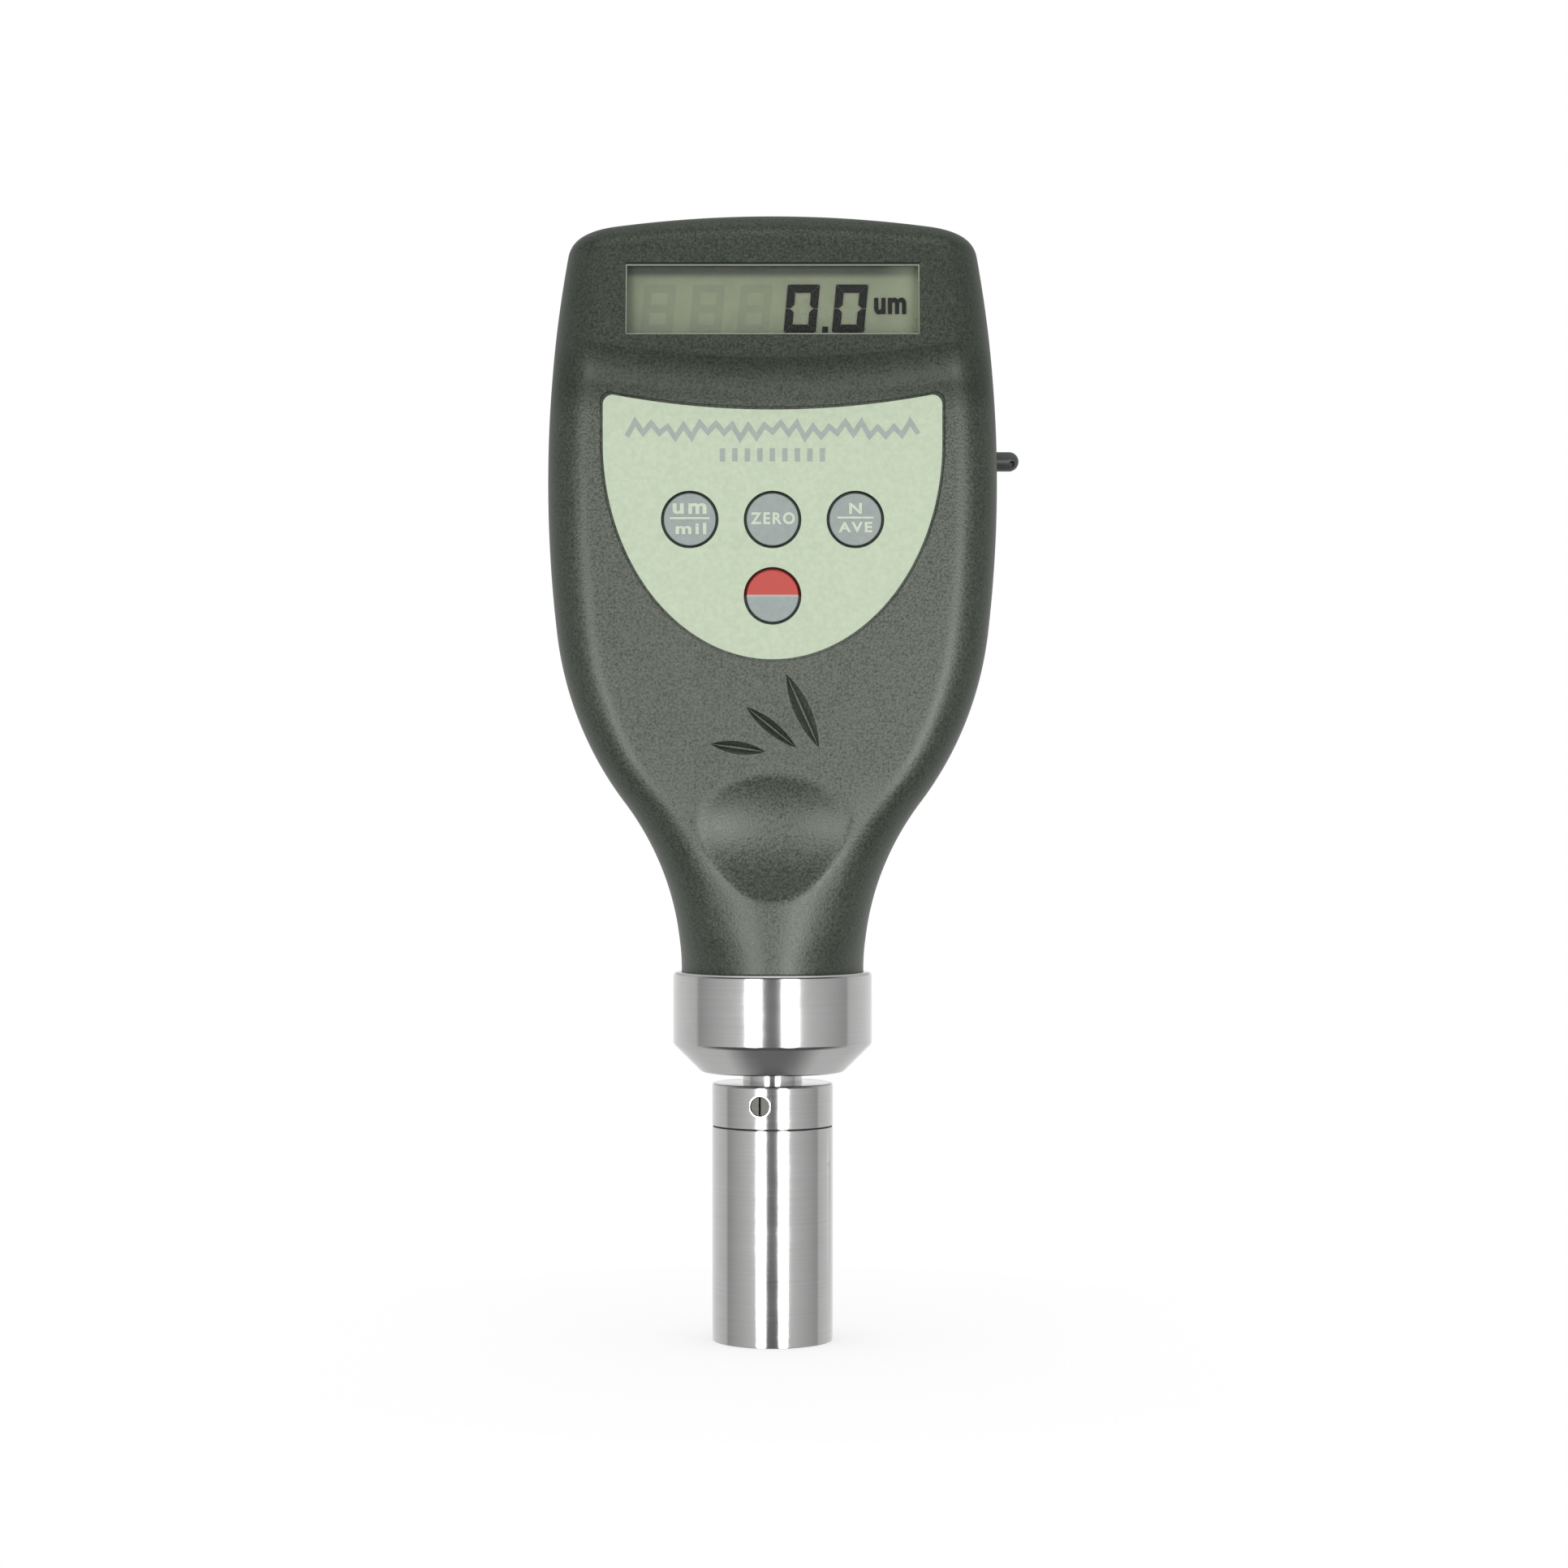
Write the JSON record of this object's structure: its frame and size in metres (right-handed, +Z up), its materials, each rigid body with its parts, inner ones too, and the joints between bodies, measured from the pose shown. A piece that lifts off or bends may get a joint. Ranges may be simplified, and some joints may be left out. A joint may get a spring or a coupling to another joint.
{
  "type": "surface profile gauge",
  "caption": "Hand-held digital surface roughness gauge: paddle casing with display and keypad on a steel collar, sleeve and flat foot with a sprung needle.",
  "frame": {"origin": "centre of the foot face, on the probe axis", "axes": "+Z up the probe axis to the crown, -Y out of the display, +X to the display's right"},
  "size_m": [0.0669, 0.0286, 0.1599],
  "materials": {
    "case": "fine texture",
    "steel": "turned and polished",
    "dark_steel": "dark",
    "needle_steel": "ground",
    "spring_steel": "drawn",
    "screw_steel": "plated",
    "window": "clear",
    "display": "polished",
    "frame_plastic": "moulded",
    "black_rubber": "matt",
    "overlay": "printed film",
    "key_grey": "satin",
    "key_red": "satin",
    "button_plastic": "moulded",
    "board": "solder mask",
    "chip": "moulded",
    "socket_plastic": "moulded",
    "lead": "matt",
    "cell": "printed sleeve",
    "contact_brass": "plated",
    "bush_bronze": "sintered",
    "copper": "enamelled wire"
  },
  "bodies": {
    "gauge": {"front_shell": "case", "rear_shell": "case", "collar": "steel", "stem": "steel", "lock_ring": "steel", "probe_sleeve": "steel", "foot_plug": "steel", "lock_screw": "dark_steel", "board_screws": "screw_steel", "case_screws": "screw_steel", "display_window": "window", "lcd_panel": "display", "lcd_frame": "frame_plastic", "data_jack": "frame_plastic", "switch_bodies": "frame_plastic", "contact_strips": "black_rubber", "keypad_overlay": "overlay", "main_board": "board", "controller_chip": "chip", "sensor_chip": "chip", "lead_socket": "socket_plastic", "coil_bobbin": "socket_plastic", "sensor_lead": "lead", "cell_1": "cell", "cell_2": "cell", "cell_3": "cell", "cell_4": "cell", "spring_contacts": "contact_brass", "plate_contacts": "contact_brass", "guide_bush": "bush_bronze", "upper_bush": "bush_bronze", "coil_windings": "copper"},
    "needle": {"needle": "needle_steel", "needle_core": "dark_steel", "return_spring": "spring_steel"},
    "units_key": {"key_units": "key_grey", "button_units": "button_plastic"},
    "zero_key": {"key_zero": "key_grey", "button_zero": "button_plastic"},
    "average_key": {"key_average": "key_grey", "button_average": "button_plastic"},
    "power_key": {"key_power": "key_red", "button_power": "button_plastic"},
    "battery_cover": {"battery_cover": "case"},
    "port_plug": {"port_plug": "black_rubber"}
  },
  "joints": [
    {"name": "needle_slide", "type": "slide", "parent": "gauge", "child": "needle", "axis": [0, 0, -1], "range_m": [0, 0.001], "stiffness_N_per_m": 130, "springref_m": 0.004, "deforming": ["return_spring"]},
    {"name": "units_press", "type": "slide", "parent": "gauge", "child": "units_key", "axis": [0, 1, 0], "range_m": [0, 0.0004], "stiffness_N_per_m": 1500},
    {"name": "zero_press", "type": "slide", "parent": "gauge", "child": "zero_key", "axis": [0, 1, 0], "range_m": [0, 0.0004], "stiffness_N_per_m": 1500},
    {"name": "average_press", "type": "slide", "parent": "gauge", "child": "average_key", "axis": [0, 1, 0], "range_m": [0, 0.0004], "stiffness_N_per_m": 1500},
    {"name": "power_press", "type": "slide", "parent": "gauge", "child": "power_key", "axis": [0, 1, 0], "range_m": [0, 0.0004], "stiffness_N_per_m": 1500},
    {"name": "cover_slide", "type": "slide", "parent": "gauge", "child": "battery_cover", "axis": [0, 0, 1], "range_m": [0, 0.064]},
    {"name": "plug_pull", "type": "slide", "parent": "gauge", "child": "port_plug", "axis": [1, 0, 0], "range_m": [0, 0.009]}
  ]
}
